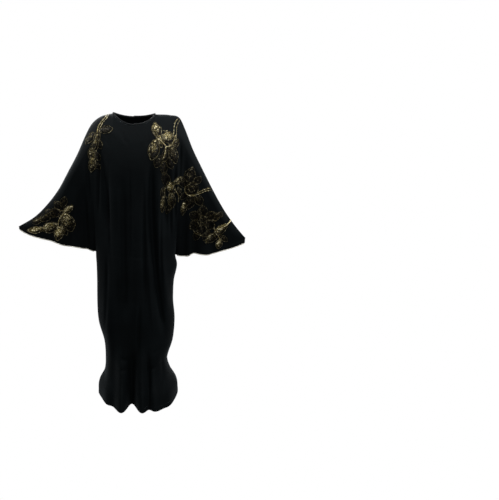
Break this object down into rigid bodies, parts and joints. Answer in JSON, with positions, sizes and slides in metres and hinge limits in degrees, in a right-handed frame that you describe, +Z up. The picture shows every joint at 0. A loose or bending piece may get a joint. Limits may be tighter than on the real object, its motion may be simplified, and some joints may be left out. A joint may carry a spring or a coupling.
{
  "type": "butterfly abaya",
  "caption": "Long loose robe with wide butterfly sleeves cut in one with the body, round neck and piped sleeve hems, held open as when worn.",
  "frame": {"origin": "middle of the neck opening at the height of the shoulders, where the wearer's shoulders carry the garment", "axes": "+Z up, towards the neck; +X to the wearer's left; -Y to the front"},
  "size_m": [1.13, 0.5035, 1.454],
  "materials": {
    "black_crepe": "matte crepe",
    "satin_binding": "soft satin",
    "silver_piping": "satin cord",
    "gold_thread": "metallic embroidery thread"
  },
  "bodies": {
    "root": {"front_panel": "black_crepe", "back_panel": "black_crepe", "neck_binding": "satin_binding", "right_sleeve_piping_front": "silver_piping", "right_sleeve_piping_back": "silver_piping", "left_sleeve_piping_front": "silver_piping", "left_sleeve_piping_back": "silver_piping"}
  },
  "joints": []
}
